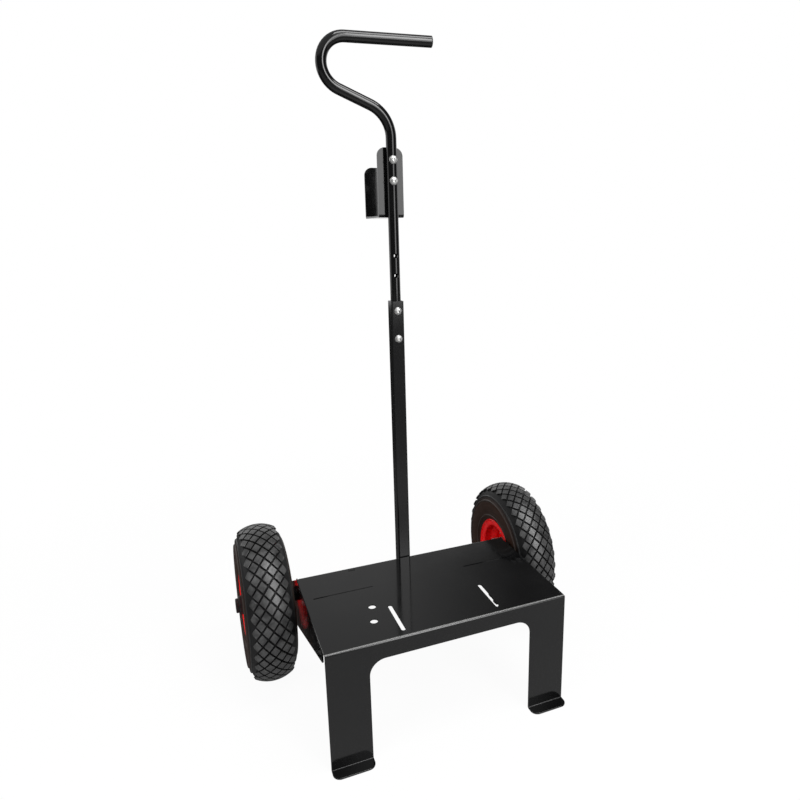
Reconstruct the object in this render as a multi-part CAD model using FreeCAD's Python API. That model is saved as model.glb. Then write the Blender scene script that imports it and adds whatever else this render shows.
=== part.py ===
"""Battery trolley: a folded sheet platform on two pneumatic wheels with a crook-handled mast.

Millimetres. +Z is up, the legs face -Y and +X is the right hand side seen from the front.
The origin lies on the floor, under the middle of the trolley's outline.
"""
import FreeCAD, Part
import math
import os

V = FreeCAD.Vector

# Platform: one folded sheet
deck_width = 369.0
deck_depth = 216.0
deck_height = 182.0
sheet = 2.0
bend_inside = 1.0
leg_width = 60.0
apron_depth = 26.0
cutout_corner = 23.0
foot_length = 18.0
foot_corner = 11.0
rear_flange_depth = 60.0
corner_relief = 2.0
edge_round = 0.8

# Side plates welded under the deck's edges
side_plate_setback = 19.0
side_plate_front_depth = 22.5
side_plate_slope_deg = 19.2
side_plate_corner = 3.0
ear_beyond_axle = 28.0
ear_top_above_axle = 9.0
ear_corner = 22.0

# Openings in the platform
strap_slot_length = 69.0
strap_slot_width = 6.4
strap_slot_offset = 73.7
strap_slots_aside = 4.0
strap_slot_from_front = 14.0
edge_slot_length = 94.0
edge_slot_width = 2.6
edge_slot_inset = 13.0
edge_slot_from_rear = 72.0
tie_slot_length = 12.0
tie_slot_width = 3.0
tie_slot_offset = 96.0
tie_slot_from_rear = 10.0
deck_hole_diameter = 11.6
deck_hole_offset = 94.4
deck_hole_from_rear = 127.0
deck_hole_step_across = 7.8
deck_hole_step_forward = 36.8

# Axle line
axle_diameter = 20.0
axle_behind_deck = 51.0
axle_clearance = 0.1
washer_thickness = 2.0
washer_width = 4.0
push_nut_thickness = 1.0
push_nut_width = 2.6
cap_flange_diameter = 31.0
cap_flange_length = 5.5
cap_end_diameter = 23.5
cap_length = 10.5
cap_wall = 2.0
cap_edge = 1.5

# Wheels
wheel_diameter = 254.0
tyre_gap = 10.0
hub_length = 64.0
hub_wall = 2.5
tyre_width = 75.0
tyre_crown_drop = 8.6
tyre_crown_width = 59.0
tyre_wall = 5.0
tube_wall = 2.0
tube_clearance = 0.5
rim_sheet = 2.0
rim_bend = 1.0
rim_well_radius = 42.5
rim_well_width = 18.0
rim_seat_radius = 50.5
rim_seat_start = 17.0
rim_width = 60.0
rim_lip_radius = 61.5
rim_lip_flare = 3.2
bead_clearance = 0.3
bead_thickness = 8.0
bead_chamfer = 1.5

# Tread of the tyres: rows of diamond blocks that reach over the shoulders
tread_rows = 35
tread_pitch_across = 17.8
tread_diamonds_across = 7
groove_width = 2.4
groove_depth = 3.5
block_root = 0.5

# Ball bearings, one at each end of a hub
bearing_width = 12.0
bearing_diameter = 42.0
bearing_ring = 3.0
ball_diameter = 6.0
ball_count = 9
ball_clearance = 0.3
cage_width = 8.0
cage_thickness = 2.0
shield_thickness = 0.8
shield_recess = 0.5

# Rim bolts
rim_bolt_diameter = 6.0
rim_bolt_count = 4
rim_bolt_circle = 66.0
rim_bolt_spare = 3.0

# Tyre valves
valve_diameter = 8.0
valve_stem_length = 19.0
valve_inside_length = 6.0
valve_tip_diameter = 6.0
valve_tip_length = 8.0
valve_cap_diameter = 8.4
valve_cap_length = 9.0
valve_cap_clearance = 0.1
valve_turn_deg = 200.0

# Mast and handle
mast_size = 20.0
mast_wall = 1.5
mast_corner = 2.0
mast_top = 618.0
mast_below_flange = 4.0
handle_diameter = 16.0
handle_wall = 1.5
handle_insert = 78.0
handle_straight_top = 857.0
handle_low_bend = 47.0
handle_low_turn_deg = 69.0
handle_slant = 49.0
handle_high_bend = 35.5
handle_high_turn_deg = 156.6
handle_bar = 129.0
plug_depth = 14.0
plug_head = 1.6
plug_clearance = 0.1

# Hook bracket on the handle tube
bracket_width = 40.0
bracket_sheet = 2.5
bracket_bottom = 744.0
bracket_front_height = 101.0
bracket_rear_height = 79.0
bracket_pocket = 70.0
bracket_bend_inside = 2.0
bracket_corner = 12.0

# Screws through the mast, the handle tube and the bracket
screw_diameter = 6.0
screw_clearance = 0.25
screw_head_diameter = 12.6
screw_head_height = 3.8
screw_socket = 4.0
screw_socket_depth = 2.2
screw_spare = 2.0
mast_screw_from_top = 15.5
mast_screw_pitch = 43.5
bracket_screw_pitch = 30.0
bracket_screw_from_top = 19.0
spare_hole_height = 687.0
thread_clearance = 0.05

# Bolts that hold the mast to the rear flange
base_bolt_diameter = 8.0
base_bolt_pitch = 28.0
base_bolt_from_deck = 20.0
base_washer_diameter = 16.0
base_washer_thickness = 1.6

# Nuts and hexagon heads, as shares of the thread diameter
nut_flats_ratio = 1.65
nut_height_ratio = 0.8
hex_head_ratio = 0.65

# Places that follow from the sizes above
wheel_radius = wheel_diameter / 2
half_deck = deck_width / 2
bend_outside = bend_inside + sheet
rear_y = (deck_depth + foot_length - axle_behind_deck - wheel_radius) / 2
front_y = rear_y - deck_depth
axle_y = rear_y + axle_behind_deck
axle_z = wheel_radius
axle_radius = axle_diameter / 2
wheel_x = half_deck + tyre_gap + tyre_width / 2
hub_inner_x = wheel_x - hub_length / 2
hub_outer_x = wheel_x + hub_length / 2
outer_washer_end = hub_outer_x + washer_thickness
push_nut_end = outer_washer_end + push_nut_thickness
cap_end_x = push_nut_end + cap_length
bearing_radius = bearing_diameter / 2
hub_radius = bearing_radius + hub_wall
mast_y = rear_y + mast_size / 2
flange_bottom = deck_height - rear_flange_depth
mast_bottom = flange_bottom - mast_below_flange
bracket_front_y = mast_y + handle_diameter / 2
upper_bracket_screw = bracket_bottom + bracket_front_height - bracket_screw_from_top
bracket_screw_heights = [upper_bracket_screw, upper_bracket_screw - bracket_screw_pitch]
spare_hole_heights = [spare_hole_height, spare_hole_height - bracket_screw_pitch]
upper_mast_screw = mast_top - mast_screw_from_top
mast_screw_heights = [upper_mast_screw, upper_mast_screw - mast_screw_pitch]
upper_base_bolt = deck_height - base_bolt_from_deck
base_bolt_heights = [upper_base_bolt, upper_base_bolt - base_bolt_pitch]
SIDES = {"left": -1, "right": 1}


def line(a, b):
    """A straight edge."""
    return Part.LineSegment(a, b).toShape()


def arc(a, middle, b):
    """A circular edge through three points."""
    return Part.Arc(a, middle, b).toShape()


def rounded_path(corners, radii):
    """Straight runs through the corners, each inner corner rounded by its radius."""
    edges = []
    start = corners[0]
    for before, corner, after, radius in zip(corners, corners[1:], corners[2:], radii):
        back = (before - corner).normalize()
        ahead = (after - corner).normalize()
        half = back.getAngle(ahead) / 2
        reach = radius / math.tan(half)
        centre = corner + (back + ahead).normalize() * (radius / math.sin(half))
        middle = centre + (corner - centre).normalize() * radius
        edges.append(line(start, corner + back * reach))
        edges.append(arc(corner + back * reach, middle, corner + ahead * reach))
        start = corner + ahead * reach
    edges.append(line(start, corners[-1]))
    return edges


def rounded_outline(corners, radii):
    """A closed outline with every corner rounded."""
    first = (corners[-1] + corners[0]) * 0.5
    path = [first] + corners + [first]
    return Part.Face(Part.Wire(rounded_path(path, radii)))


def box(low, high):
    """A box between two opposite corners."""
    size = high - low
    return Part.makeBox(size.x, size.y, size.z, low)


def rod(radius, start, end):
    """A round bar between two points."""
    return Part.makeCylinder(radius, (end - start).Length, start, end - start)


def pipe(outer, inner, start, end):
    """A round tube or ring between two points."""
    return rod(outer, start, end).cut(rod(inner, start, end))


def hexagon(across_flats, height, base, axis):
    """A hexagonal prism standing on its base point along an axis."""
    radius = across_flats / math.sqrt(3)
    ring = Part.makePolygon([
        V(radius * math.cos(i * math.pi / 3), radius * math.sin(i * math.pi / 3), 0) for i in range(7)
    ])
    prism = Part.Face(ring).extrude(V(0, 0, height))
    prism.Placement = FreeCAD.Placement(base, FreeCAD.Rotation(V(0, 0, 1), axis))
    return prism


def turned(edges):
    """A solid of revolution about the X axis, from a closed outline in the XZ plane."""
    return Part.Face(Part.Wire(edges)).revolve(V(0, 0, 0), V(1, 0, 0), 360)


def loop(points):
    """A closed outline of straight edges."""
    return [line(a, b) for a, b in zip(points, points[1:] + points[:1])]


def hex_nut(diameter, base, axis):
    """A hexagon nut with a plain bore, seated on its base point."""
    height = nut_height_ratio * diameter
    body = hexagon(nut_flats_ratio * diameter, height, base, axis)
    return body.cut(rod(diameter / 2 + thread_clearance, base, base + axis * height))


def hex_bolt(diameter, length, seat, axis):
    """A hexagon head bolt: the head stands behind the seat, the shank runs along the axis."""
    height = hex_head_ratio * diameter
    head = hexagon(nut_flats_ratio * diameter, height, seat - axis * height, axis)
    return head.fuse(rod(diameter / 2, seat, seat + axis * length)).removeSplitter()


def button_screw(length, seat):
    """A domed socket screw whose shank runs along +Y from the seat of its head."""
    centre = V(0, 0, 0)
    brim = V(screw_head_diameter / 2, 0, 0)
    crown = V(0, 0, screw_head_height)
    shoulder = (brim + crown) * math.sqrt(0.5)
    dome_edges = [line(centre, brim), arc(brim, shoulder, crown), line(crown, centre)]
    head = Part.Face(Part.Wire(dome_edges)).revolve(V(0, 0, 0), V(0, 0, 1), 360)
    floor = V(0, 0, screw_head_height - screw_socket_depth)
    head = head.cut(hexagon(screw_socket, screw_head_height, floor, V(0, 0, 1)))
    head.Placement = FreeCAD.Placement(seat, FreeCAD.Rotation(V(0, 0, 1), V(0, -1, 0)))
    return head.fuse(rod(screw_diameter / 2, seat, seat + V(0, length, 0))).removeSplitter()


def cross_hole(diameter, height):
    """A drill along Y, square through the mast line."""
    return rod(diameter / 2, V(0, mast_y - mast_size, height), V(0, mast_y + mast_size, height))


def slot_cutter(centre_x, centre_y, length, width, along_x):
    """A round-ended slot cutter through the platform, along X or along Y."""
    low = deck_height - 2 * sheet
    tall = V(0, 0, 3 * sheet)
    half = (length - width) / 2
    run = V(half, 0, 0) if along_x else V(0, half, 0)
    side = V(0, width / 2, 0) if along_x else V(width / 2, 0, 0)
    middle = V(centre_x, centre_y, low)
    cutter = box(middle - run - side, middle + run + side + tall)
    for end in (middle - run, middle + run):
        cutter = cutter.fuse(rod(width / 2, end, end + tall))
    return cutter.removeSplitter()


def folded_sheet():
    """The platform: feet, legs, apron, deck and rear flange folded from one sheet."""
    under = deck_height - sheet
    skin = [
        V(0, front_y - foot_length, 0),
        V(0, front_y + sheet, 0),
        V(0, front_y + sheet, under),
        V(0, rear_y - sheet, under),
        V(0, rear_y - sheet, flange_bottom),
    ]
    bends = [bend_outside, bend_inside, bend_inside]
    strip = Part.Wire(rounded_path(skin, bends)).makeOffset2D(-sheet, fill=True, openResult=True)
    strip.translate(V(-half_deck, 0, 0))
    platform = strip.extrude(V(deck_width, 0, 0))

    # Gap between the legs, open at the floor
    half_gap = half_deck - leg_width
    gap_top = deck_height - apron_depth
    gap_front = front_y - 2 * foot_length
    gap = rounded_outline(
        [V(-half_gap, gap_front, -gap_top), V(-half_gap, gap_front, gap_top),
         V(half_gap, gap_front, gap_top), V(half_gap, gap_front, -gap_top)],
        [cutout_corner] * 4,
    ).extrude(V(0, 2 * foot_length + sheet + bend_inside, 0))
    platform = platform.cut(gap)

    # Rounded toes
    toes = [
        edge for edge in platform.Edges
        if edge.BoundBox.YMax < front_y - foot_length + 0.1 and edge.BoundBox.ZLength > sheet / 2
    ]
    platform = platform.makeFillet(foot_corner, toes)

    # The coated edges of the outer face are eased from toe to rear flange
    outer_edges = [
        edge for edge in platform.Edges
        if edge.BoundBox.ZMin > deck_height - edge_round and edge.BoundBox.YLength > deck_depth / 2
    ]
    platform = platform.makeFillet(edge_round, outer_edges)

    # The rear flange stops short of the side plates, and the deck's corners stay flat
    flange_half = half_deck - sheet - corner_relief
    bend_start = rear_y - bend_outside
    for side in SIDES.values():
        notch = box(V(flange_half, bend_start, flange_bottom), V(half_deck, rear_y, deck_height))
        corner = box(V(half_deck - sheet, bend_start, under), V(half_deck, rear_y, deck_height))
        if side < 0:
            notch = notch.mirror(V(0, 0, 0), V(1, 0, 0))
            corner = corner.mirror(V(0, 0, 0), V(1, 0, 0))
        platform = platform.cut(notch).fuse(corner)

    for cutter in deck_openings():
        platform = platform.cut(cutter)
    for height in base_bolt_heights:
        platform = platform.cut(rod(base_bolt_diameter / 2 + screw_clearance,
                                    V(0, rear_y - 2 * sheet, height), V(0, rear_y + sheet, height)))
    return platform.removeSplitter()


def platform_panels():
    """The folded sheet as three panels that meet at its bends: front legs, deck and rear flange."""
    platform = folded_sheet()
    flange_half = half_deck - sheet - corner_relief / 2
    ahead = box(V(-deck_width, front_y - 2 * foot_length, -sheet),
                V(deck_width, front_y + bend_outside, deck_height + sheet))
    behind = box(V(-flange_half, rear_y - bend_outside, 0),
                 V(flange_half, rear_y + sheet, deck_height + sheet))
    return {
        "front_legs": platform.common(ahead),
        "deck_plate": platform.cut(ahead).cut(behind),
        "rear_flange": platform.common(behind),
    }


def side_plate():
    """The right hand side plate: deeper towards the rear, ending in the ear for the axle."""
    top = deck_height - sheet
    plate_front = front_y + side_plate_setback
    front_low = deck_height - side_plate_front_depth
    ear_rear = axle_y + ear_beyond_axle
    rear_low = front_low - math.tan(math.radians(side_plate_slope_deg)) * (ear_rear - plate_front)
    inner_face = half_deck - sheet
    outline = [
        V(inner_face, rear_y, top),
        V(inner_face, ear_rear, axle_z + ear_top_above_axle),
        V(inner_face, ear_rear, rear_low),
        V(inner_face, plate_front, front_low),
        V(inner_face, plate_front, top),
    ]
    edges = rounded_path(outline, [ear_corner, ear_corner, side_plate_corner])
    edges.append(line(outline[-1], outline[0]))
    plate = Part.Face(Part.Wire(edges)).extrude(V(sheet, 0, 0))
    bore = axle_radius + axle_clearance
    return plate.cut(rod(bore, on_axle(inner_face - sheet), on_axle(half_deck + sheet)))


def deck_openings():
    """Slots and holes cut through the deck."""
    cutters = []
    strap_y = front_y + strap_slot_from_front + strap_slot_length / 2
    edge_x = half_deck - edge_slot_inset - edge_slot_length / 2
    edge_y = rear_y - edge_slot_from_rear
    tie_y = rear_y - tie_slot_from_rear
    for side in SIDES.values():
        strap_x = strap_slots_aside + side * strap_slot_offset
        cutters.append(slot_cutter(strap_x, strap_y, strap_slot_length, strap_slot_width, along_x=False))
        cutters.append(slot_cutter(side * edge_x, edge_y, edge_slot_length, edge_slot_width, along_x=True))
    cutters.append(slot_cutter(-tie_slot_offset, tie_y, tie_slot_length, tie_slot_width, along_x=True))
    for step in range(2):
        spot = V(-deck_hole_offset - step * deck_hole_step_across,
                 rear_y - deck_hole_from_rear - step * deck_hole_step_forward, deck_height - 2 * sheet)
        cutters.append(rod(deck_hole_diameter / 2, spot, spot + V(0, 0, 3 * sheet)))
    return cutters


def on_axle(x):
    """A point on the axle line."""
    return V(x, axle_y, axle_z)


def axle():
    """The plain axle bar, from cap to cap."""
    end = cap_end_x - cap_wall
    return rod(axle_radius, on_axle(-end), on_axle(end))


def axle_ring(width, start, end):
    """A ring that slides on the axle."""
    bore = axle_radius + axle_clearance
    return pipe(bore + width, bore, on_axle(start), on_axle(end))


def axle_cap():
    """The stepped push-on cap on the axle's right hand end."""
    flange_end = push_nut_end + cap_flange_length
    flange = cap_flange_diameter / 2
    end = cap_end_diameter / 2
    flange_round = V(flange_end, 0, flange - cap_edge)
    flange_side = V(flange_end - cap_edge, 0, flange)
    end_round = V(cap_end_x, 0, end - cap_edge)
    end_side = V(cap_end_x - cap_edge, 0, end)
    quarter = cap_edge * (1 - math.sqrt(0.5))
    solid = turned([
        line(V(push_nut_end, 0, 0), V(push_nut_end, 0, flange)),
        line(V(push_nut_end, 0, flange), flange_side),
        arc(flange_side, V(flange_end - quarter, 0, flange - quarter), flange_round),
        line(flange_round, V(flange_end, 0, end)),
        line(V(flange_end, 0, end), end_side),
        arc(end_side, V(cap_end_x - quarter, 0, end - quarter), end_round),
        line(end_round, V(cap_end_x, 0, 0)),
        line(V(cap_end_x, 0, 0), V(push_nut_end, 0, 0)),
    ])
    bore = axle_radius + axle_clearance
    solid = solid.cut(rod(bore, V(push_nut_end, 0, 0), V(cap_end_x - cap_wall, 0, 0)))
    solid.translate(on_axle(0))
    return solid


def at_wheel(shape, side):
    """Carry a right hand wheel piece from its own centre to its place; the left one is its mirror image."""
    if side < 0:
        shape = shape.mirror(V(0, 0, 0), V(1, 0, 0))
    shape.translate(on_axle(side * wheel_x))
    return shape


def spoke(x, radius, turn_deg=0.0):
    """A point of a wheel by its offset along the axle, its radius and its turn from the top."""
    turn = math.radians(turn_deg)
    return V(x, radius * math.sin(turn), radius * math.cos(turn))


def arch(half_width, shoulder, bulge, belly, foot, crown):
    """Outline from one foot over the crown to the other foot: belly arc, crown arc, belly arc."""
    right = V(half_width, 0, shoulder)
    left = V(-half_width, 0, shoulder)
    return [
        arc(V(-foot.x, 0, foot.z), V(-bulge, 0, belly), left),
        arc(left, V(0, 0, crown), right),
        arc(right, V(bulge, 0, belly), foot),
    ]


def tyre_belly():
    """The radius at which the tyre is widest."""
    return (wheel_radius - tyre_crown_drop + rim_lip_radius) / 2 + tyre_wall


def tyre_foot():
    """Where the tyre's outer wall meets the rim's lip."""
    return V(rim_width / 2 - bead_clearance + rim_lip_flare, 0, rim_lip_radius + rim_sheet)


def tyre_skin(depth):
    """The tyre's outer outline, with its tread and shoulders lowered by a depth."""
    ease = depth * math.sqrt(0.5)
    return arch(tyre_crown_width / 2 - ease, wheel_radius - tyre_crown_drop - ease,
                tyre_width / 2, tyre_belly(), tyre_foot(), wheel_radius - depth)


def tyre_lining(inset, foot):
    """The outline inside the tyre, drawn inwards by an inset."""
    wall = tyre_wall + inset
    tread = groove_depth + wall
    return arch(tyre_crown_width / 2 - tread, wheel_radius - tyre_crown_drop - tread,
                tyre_width / 2 - wall, tyre_belly(), foot, wheel_radius - tread)


def carcass():
    """The tyre without its blocks: groove floor, bulging walls and beads on the rim seats."""
    bead_x = rim_width / 2 - bead_clearance
    bead_low = rim_seat_radius + bead_clearance
    foot = tyre_foot()
    neck = V(bead_x, 0, rim_lip_radius - rim_lip_flare)
    heel_side = V(bead_x, 0, bead_low + bead_chamfer)
    heel = V(bead_x - bead_chamfer, 0, bead_low)
    toe = V(bead_x - bead_thickness, 0, bead_low)
    inner_foot = V(bead_x - bead_thickness, 0, foot.z)

    def left(point):
        return V(-point.x, 0, point.z)

    bead = [foot, neck, heel_side, heel, toe, inner_foot]
    outline = tyre_skin(groove_depth) + tyre_lining(0, inner_foot)
    for a, b in zip(bead, bead[1:]):
        outline += [line(a, b), line(left(a), left(b))]
    return turned(Part.__sortEdges__(outline))


def shoulder_run():
    """The distance along the skin from the middle of the crown to the shoulder."""
    return tyre_skin(0)[1].Length / 2


def skin_spot(run, around):
    """A point of the skin by its distance from the middle of the crown, and round the wheel from the top."""
    crown, wall = tyre_skin(0)[1:]
    past_shoulder = abs(run) - shoulder_run()
    if past_shoulder <= 0:
        spot = crown.valueAt(crown.getParameterByLength(shoulder_run() + abs(run)))
    else:
        spot = wall.valueAt(wall.getParameterByLength(past_shoulder))
    return spoke(math.copysign(spot.x, run), spot.z, math.degrees(around / wheel_radius))


def tread_block(outline, middle, around, envelope):
    """One block: an outline on the skin, carried straight down from there to a root in the carcass."""
    centre = skin_spot(middle, around)
    across = skin_spot(middle + groove_width, around) - skin_spot(middle - groove_width, around)
    along = skin_spot(middle, around + groove_width) - skin_spot(middle, around - groove_width)
    out = across.cross(along).normalize()
    corners = [skin_spot(run, around + step) for run, step in outline]
    heights = [(corner - centre).dot(out) for corner in corners]
    root = min(heights) - groove_depth - block_root
    ring = [corner + out * (root - height) for corner, height in zip(corners, heights)]
    prism = Part.Face(Part.Wire(loop(ring))).extrude(out * (groove_depth - root))
    return prism.common(envelope)


def tread_row():
    """The blocks of one row: diamonds from shoulder to shoulder, every other one half a pitch further round."""
    half_across = tread_pitch_across / 2
    half_round = math.pi * wheel_radius / tread_rows
    flat_to_flat = half_across * half_round / math.hypot(half_across, half_round)
    share = 1 - groove_width / 2 / flat_to_flat
    wide = half_across * share
    tall = half_round * share
    outermost = tread_diamonds_across // 2
    foot = tyre_foot()
    envelope = turned(tyre_skin(0) + [line(foot, V(-foot.x, 0, foot.z))])
    envelope.rotate(V(0, 0, 0), V(1, 0, 0), 180)

    blocks = []
    for step in range(-outermost, outermost + 1):
        run = step * half_across
        diamond = [(run - wide, 0), (run, tall), (run + wide, 0), (run, -tall)]
        stagger = half_round * ((step + 1) % 2)
        blocks.append(tread_block(diamond, run, stagger, envelope))
    return blocks


def tyre():
    """The pneumatic tyre: a carcass with its tread blocks standing on it."""
    row = tread_row()
    blocks = []
    for i in range(tread_rows):
        for block in row:
            copy = block.copy()
            copy.rotate(V(0, 0, 0), V(1, 0, 0), i * 360 / tread_rows)
            blocks.append(copy)
    return carcass().fuse(blocks).Solids[0]


def tube_outline(inset):
    """The inner tube's section, drawn inwards from the inside of the tyre."""
    foot = V(rim_width / 2 - bead_clearance - bead_thickness - inset, 0, rim_lip_radius + rim_sheet + inset)
    low = V(0, 0, rim_seat_radius + inset)
    return tyre_lining(inset, foot) + [arc(foot, low, V(-foot.x, 0, foot.z))]


def inner_tube():
    """The inflated rubber tube inside the tyre."""
    return turned(tube_outline(tube_clearance)).cut(turned(tube_outline(tube_clearance + tube_wall)))


def rim_half():
    """The outer half of the pressed rim: web, well wall, bead seat and flared lip."""
    seat_end = rim_width / 2
    skin = [
        V(0, 0, hub_radius),
        V(0, 0, rim_well_radius),
        V(rim_well_width / 2, 0, rim_well_radius),
        V(rim_seat_start, 0, rim_seat_radius),
        V(seat_end, 0, rim_seat_radius),
        V(seat_end, 0, rim_lip_radius - rim_lip_flare),
        V(seat_end + rim_lip_flare, 0, rim_lip_radius),
    ]
    outside = rim_bend + rim_sheet
    bends = [outside, rim_bend, outside, rim_bend, outside]
    path = Part.Wire(rounded_path(skin, bends))
    section = path.makeOffset2D(-rim_sheet, fill=True, openResult=True)
    half = section.revolve(V(0, 0, 0), V(1, 0, 0), 360)
    half = Part.Solid(half) if half.ShapeType == "Shell" else half
    for turn in rim_bolt_turns():
        spot = spoke(0, rim_bolt_circle / 2, turn)
        drill = V(2 * rim_sheet, 0, 0)
        half = half.cut(rod(rim_bolt_diameter / 2 + screw_clearance, spot - drill, spot + drill))
    return half


def rim_bolt_turns():
    """The turns of the rim bolts round the wheel."""
    return [(i + 0.5) * 360 / rim_bolt_count for i in range(rim_bolt_count)]


def valve_line(distance):
    """A point on the valve's line, measured from the middle of the sloping rim wall, outwards."""
    middle_x = (rim_well_width / 2 + rim_seat_start) / 2
    middle_r = (rim_well_radius + rim_seat_radius) / 2
    run = rim_seat_start - rim_well_width / 2
    rise = rim_seat_radius - rim_well_radius
    length = math.hypot(run, rise)
    return spoke(middle_x + distance * rise / length, middle_r - distance * run / length, valve_turn_deg)


def hub_tube():
    """The steel hub tube that carries a bearing in each end."""
    half = hub_length / 2
    hub = pipe(hub_radius, bearing_radius - bearing_ring, V(-half, 0, 0), V(half, 0, 0))
    for end in (-1, 1):
        seat = half - bearing_width
        hub = hub.cut(rod(bearing_radius, V(end * seat, 0, 0), V(end * half, 0, 0)))
    return hub


def bearing_centres():
    """The middles of the two bearings along a wheel's own axis."""
    middle = (hub_length - bearing_width) / 2
    return [-middle, middle]


def ball_pitch():
    """The radius of the circle through the balls' middles."""
    return (axle_radius + axle_clearance + bearing_radius) / 2


def ring_set(outer, inner):
    """Two bearing rings, one at each end of the hub, with their ball grooves."""
    rings = []
    half = bearing_width / 2
    groove = Part.makeTorus(ball_pitch(), ball_diameter / 2 + ball_clearance, V(0, 0, 0), V(1, 0, 0))
    for x in bearing_centres():
        ring = pipe(outer, inner, V(-half, 0, 0), V(half, 0, 0)).cut(groove)
        ring.translate(V(x, 0, 0))
        rings.append(ring)
    return Part.makeCompound(rings)


def bearing_inner_rings():
    """The rings that stay still on the axle."""
    bore = axle_radius + axle_clearance
    return ring_set(bore + bearing_ring, bore)


def bearing_outer_rings():
    """The rings that turn with the hub."""
    return ring_set(bearing_radius, bearing_radius - bearing_ring)


def bearing_shields():
    """Thin rings that close the open faces of the bearings."""
    shields = []
    shield_outer = bearing_radius - bearing_ring
    shield_inner = axle_radius + axle_clearance + bearing_ring + ball_clearance
    for end in (-1, 1):
        face = V(end * (hub_length / 2 - shield_recess), 0, 0)
        shields.append(pipe(shield_outer, shield_inner, face, face - V(end * shield_thickness, 0, 0)))
    return Part.makeCompound(shields)


def ball_points():
    """The middles of the balls of one bearing, about its own centre."""
    return [spoke(0, ball_pitch(), i * 360 / ball_count) for i in range(ball_count)]


def bearing_balls():
    """The balls of both bearings of a wheel."""
    return Part.makeCompound([
        Part.makeSphere(ball_diameter / 2, point + V(x, 0, 0))
        for x in bearing_centres() for point in ball_points()
    ])


def bearing_cages():
    """The ring cages that space the balls."""
    cages = []
    half = V(cage_width / 2, 0, 0)
    pitch = ball_pitch()
    pocket = ball_diameter / 2 + thread_clearance
    for x in bearing_centres():
        cage = pipe(pitch + cage_thickness / 2, pitch - cage_thickness / 2, -half, half)
        for point in ball_points():
            cage = cage.cut(rod(pocket, point * (1 - pocket / pitch), point * (1 + pocket / pitch)))
        cage.translate(V(x, 0, 0))
        cages.append(cage)
    return Part.makeCompound(cages)


def rim_bolts():
    """The bolts that clamp the two rim halves, heads on the outer side."""
    length = 2 * rim_sheet + nut_height_ratio * rim_bolt_diameter + rim_bolt_spare
    return Part.makeCompound([
        hex_bolt(rim_bolt_diameter, length, spoke(rim_sheet, rim_bolt_circle / 2, turn), V(-1, 0, 0))
        for turn in rim_bolt_turns()
    ])


def rim_nuts():
    """The nuts of the rim bolts, on the inner side."""
    return Part.makeCompound([
        hex_nut(rim_bolt_diameter, spoke(-rim_sheet, rim_bolt_circle / 2, turn), V(-1, 0, 0))
        for turn in rim_bolt_turns()
    ])


def valve_hole():
    """The drill for the valve through the sloping rim wall."""
    return rod(valve_diameter / 2 + screw_clearance, valve_line(-2 * rim_sheet), valve_line(2 * rim_sheet))


def valve_stem():
    """The valve: a stem from the tube through the rim wall, with a thinner threaded tip."""
    step = valve_line(valve_stem_length - valve_tip_length)
    stem = rod(valve_diameter / 2, valve_line(-valve_inside_length), step)
    tip = rod(valve_tip_diameter / 2, step, valve_line(valve_stem_length))
    return stem.fuse(tip).removeSplitter()


def valve_cap():
    """The screw cap over the valve's tip."""
    base = valve_stem_length - valve_tip_length
    cap = rod(valve_cap_diameter / 2, valve_line(base), valve_line(base + valve_cap_length))
    bore = valve_tip_diameter / 2 + valve_cap_clearance
    return cap.cut(rod(bore, valve_line(base), valve_line(valve_stem_length)))


def square_bar(size, corner, bottom, top):
    """An upright square bar on the mast line with rounded edges."""
    half = size / 2
    outline = [V(-half, mast_y - half, bottom), V(half, mast_y - half, bottom),
               V(half, mast_y + half, bottom), V(-half, mast_y + half, bottom)]
    return rounded_outline(outline, [corner] * 4).extrude(V(0, 0, top - bottom))


def mast():
    """The square tube mast with its screw holes."""
    tube = square_bar(mast_size, mast_corner, mast_bottom, mast_top)
    bore = square_bar(mast_size - 2 * mast_wall, mast_corner - mast_wall, mast_bottom, mast_top)
    tube = tube.cut(bore)
    for height in mast_screw_heights:
        tube = tube.cut(cross_hole(screw_diameter + 2 * screw_clearance, height))
    for height in base_bolt_heights:
        tube = tube.cut(cross_hole(base_bolt_diameter + 2 * screw_clearance, height))
    return tube


def handle_line():
    """The centre line of the bent handle tube: straight runs and arcs in the plane of the mast."""
    heading = math.pi / 2
    spot = V(0, mast_y, mast_top - handle_insert)
    end = V(0, mast_y, handle_straight_top)
    edges = [line(spot, end)]
    bends = [
        (handle_low_bend, math.radians(handle_low_turn_deg), handle_slant),
        (handle_high_bend, -math.radians(handle_high_turn_deg), handle_bar),
    ]
    for radius, turn, run in bends:
        lever = math.copysign(radius, turn)
        centre = end + V(-math.sin(heading), 0, math.cos(heading)) * lever
        headings = [heading + turn / 2, heading + turn]
        points = [centre + V(math.sin(h), 0, -math.cos(h)) * lever for h in headings]
        edges.append(arc(end, points[0], points[1]))
        heading = headings[1]
        end = points[1] + V(math.cos(heading), 0, math.sin(heading)) * run
        edges.append(line(points[1], end))
    return edges, end, V(math.cos(heading), 0, math.sin(heading))


def swept(radius, edges):
    """A round bar swept along the handle's centre line."""
    start = V(0, mast_y, mast_top - handle_insert)
    ring = Part.Wire(Part.Circle(start, V(0, 0, 1), radius).toShape())
    return Part.Wire(edges).makePipeShell([ring], True, False)


def handle_tube():
    """The bent round tube: it slides into the mast and ends in the crook handle."""
    edges = handle_line()[0]
    tube = swept(handle_diameter / 2, edges).cut(swept(handle_diameter / 2 - handle_wall, edges))
    for height in mast_screw_heights + bracket_screw_heights + spare_hole_heights:
        tube = tube.cut(cross_hole(screw_diameter + 2 * screw_clearance, height))
    return tube


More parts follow.
